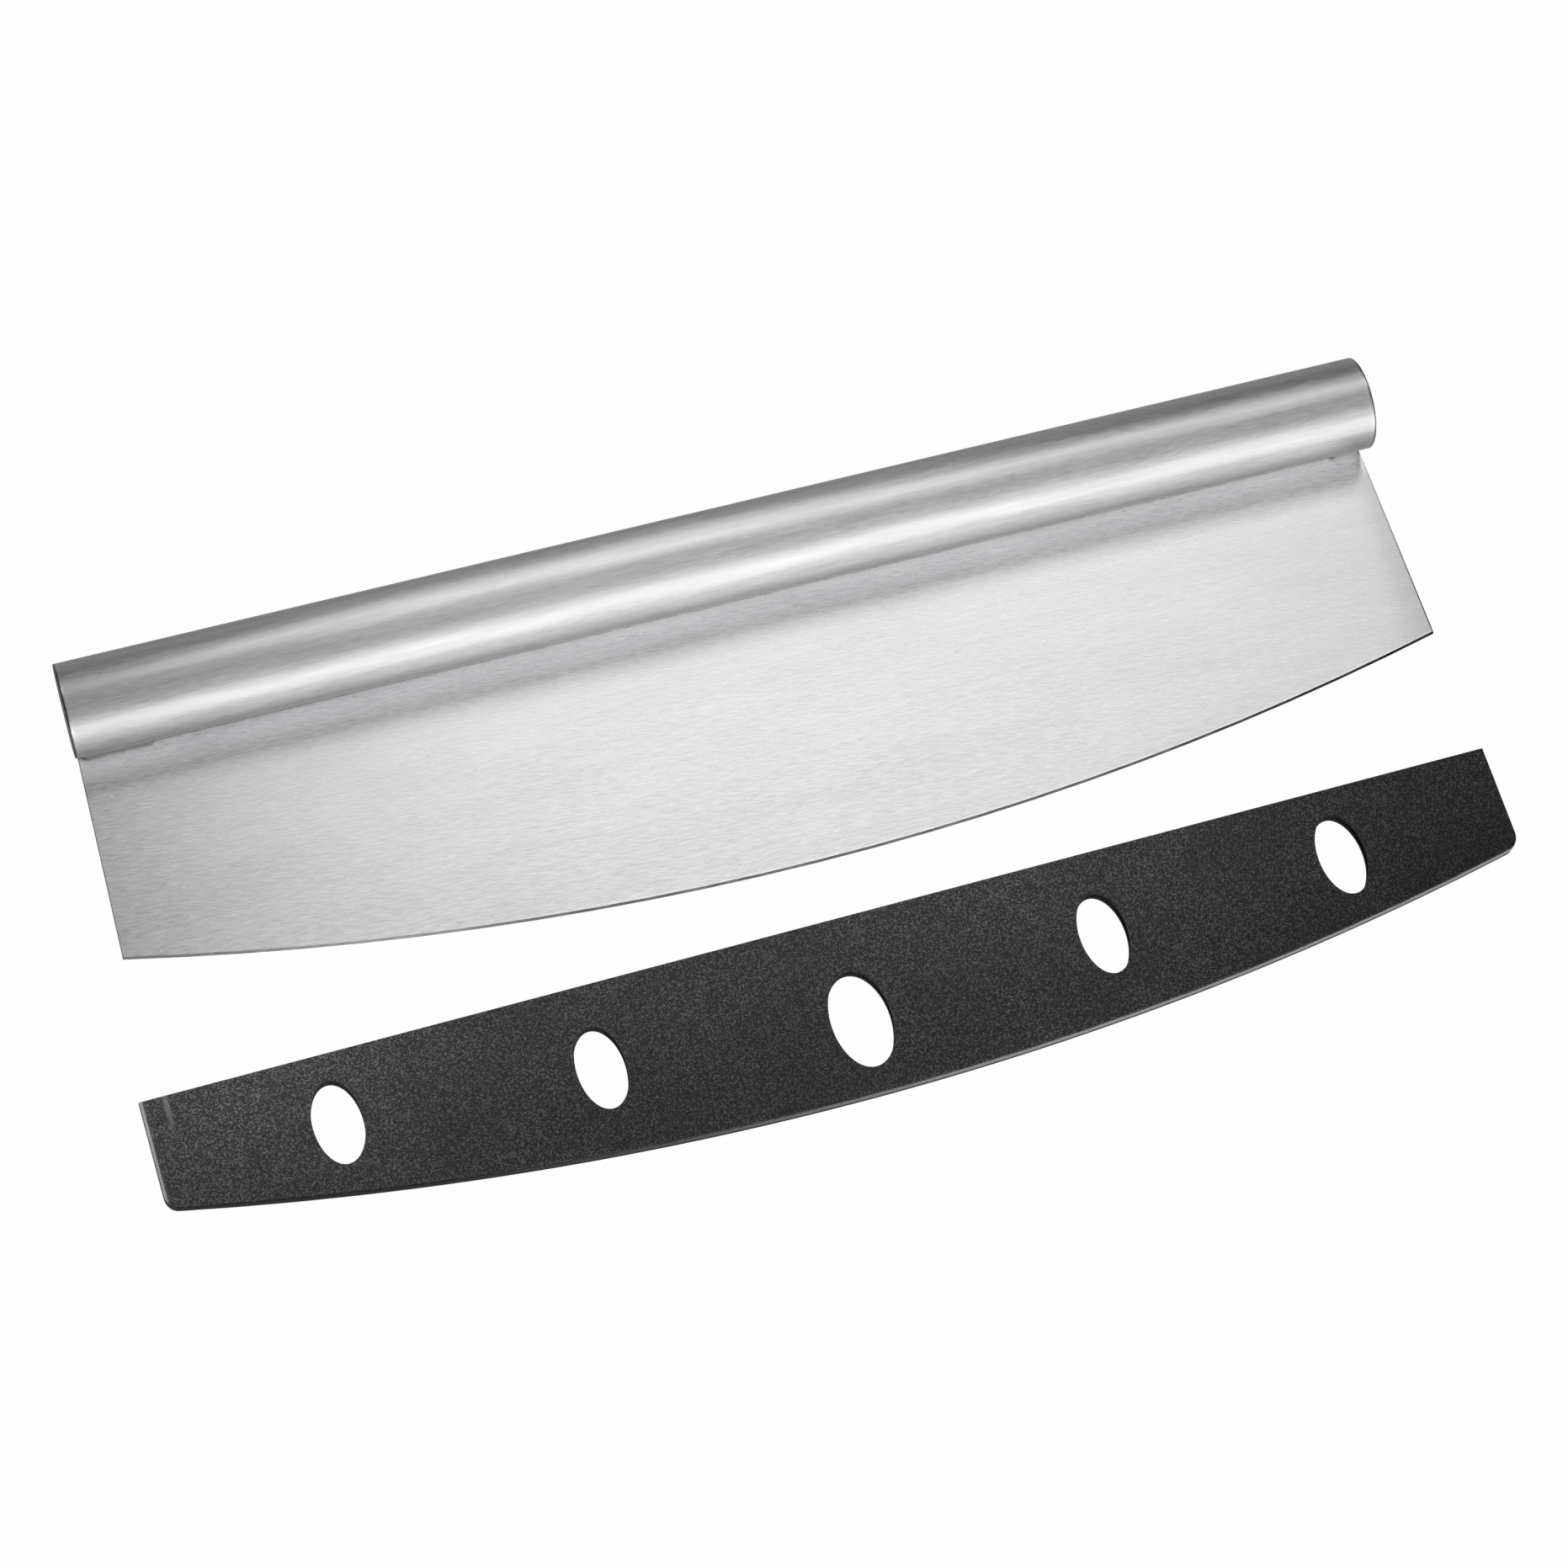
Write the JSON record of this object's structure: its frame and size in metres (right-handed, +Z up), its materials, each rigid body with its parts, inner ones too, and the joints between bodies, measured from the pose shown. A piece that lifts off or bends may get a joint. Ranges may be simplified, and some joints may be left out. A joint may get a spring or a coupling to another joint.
{
  "type": "rocking pizza knife",
  "caption": "Curved sheet rocker blade under a round tube handle as long as the blade, with a flat slip-on blade guard that has oval see-through holes, set down beside it.",
  "frame": {"origin": "middle of the footprint of the knife and the guard beside it, at table height", "axes": "+X along the handle to the right, +Y from the guard towards the handle, +Z up from the table"},
  "size_m": [0.3638, 0.163, 0.0264],
  "materials": {
    "handle_steel": "fine lengthwise brushing",
    "cap_steel": "fine brushing",
    "blade_steel": "lengthwise brushing, ground edge",
    "weld_steel": "dressed weld bead",
    "guard_plastic": "fine grained matt"
  },
  "bodies": {
    "knife": {"handle_tube": "handle_steel", "end_cap_left": "cap_steel", "end_cap_right": "cap_steel", "blade": "blade_steel", "tack_weld_left": "weld_steel", "tack_weld_right": "weld_steel"},
    "guard": {"blade_guard": "guard_plastic"}
  },
  "joints": [
    {"name": "guard_slide", "type": "slide", "parent": "knife", "child": "guard", "axis": [0.0319, 0.9995, 0], "range_m": [0, 0.0619]}
  ]
}
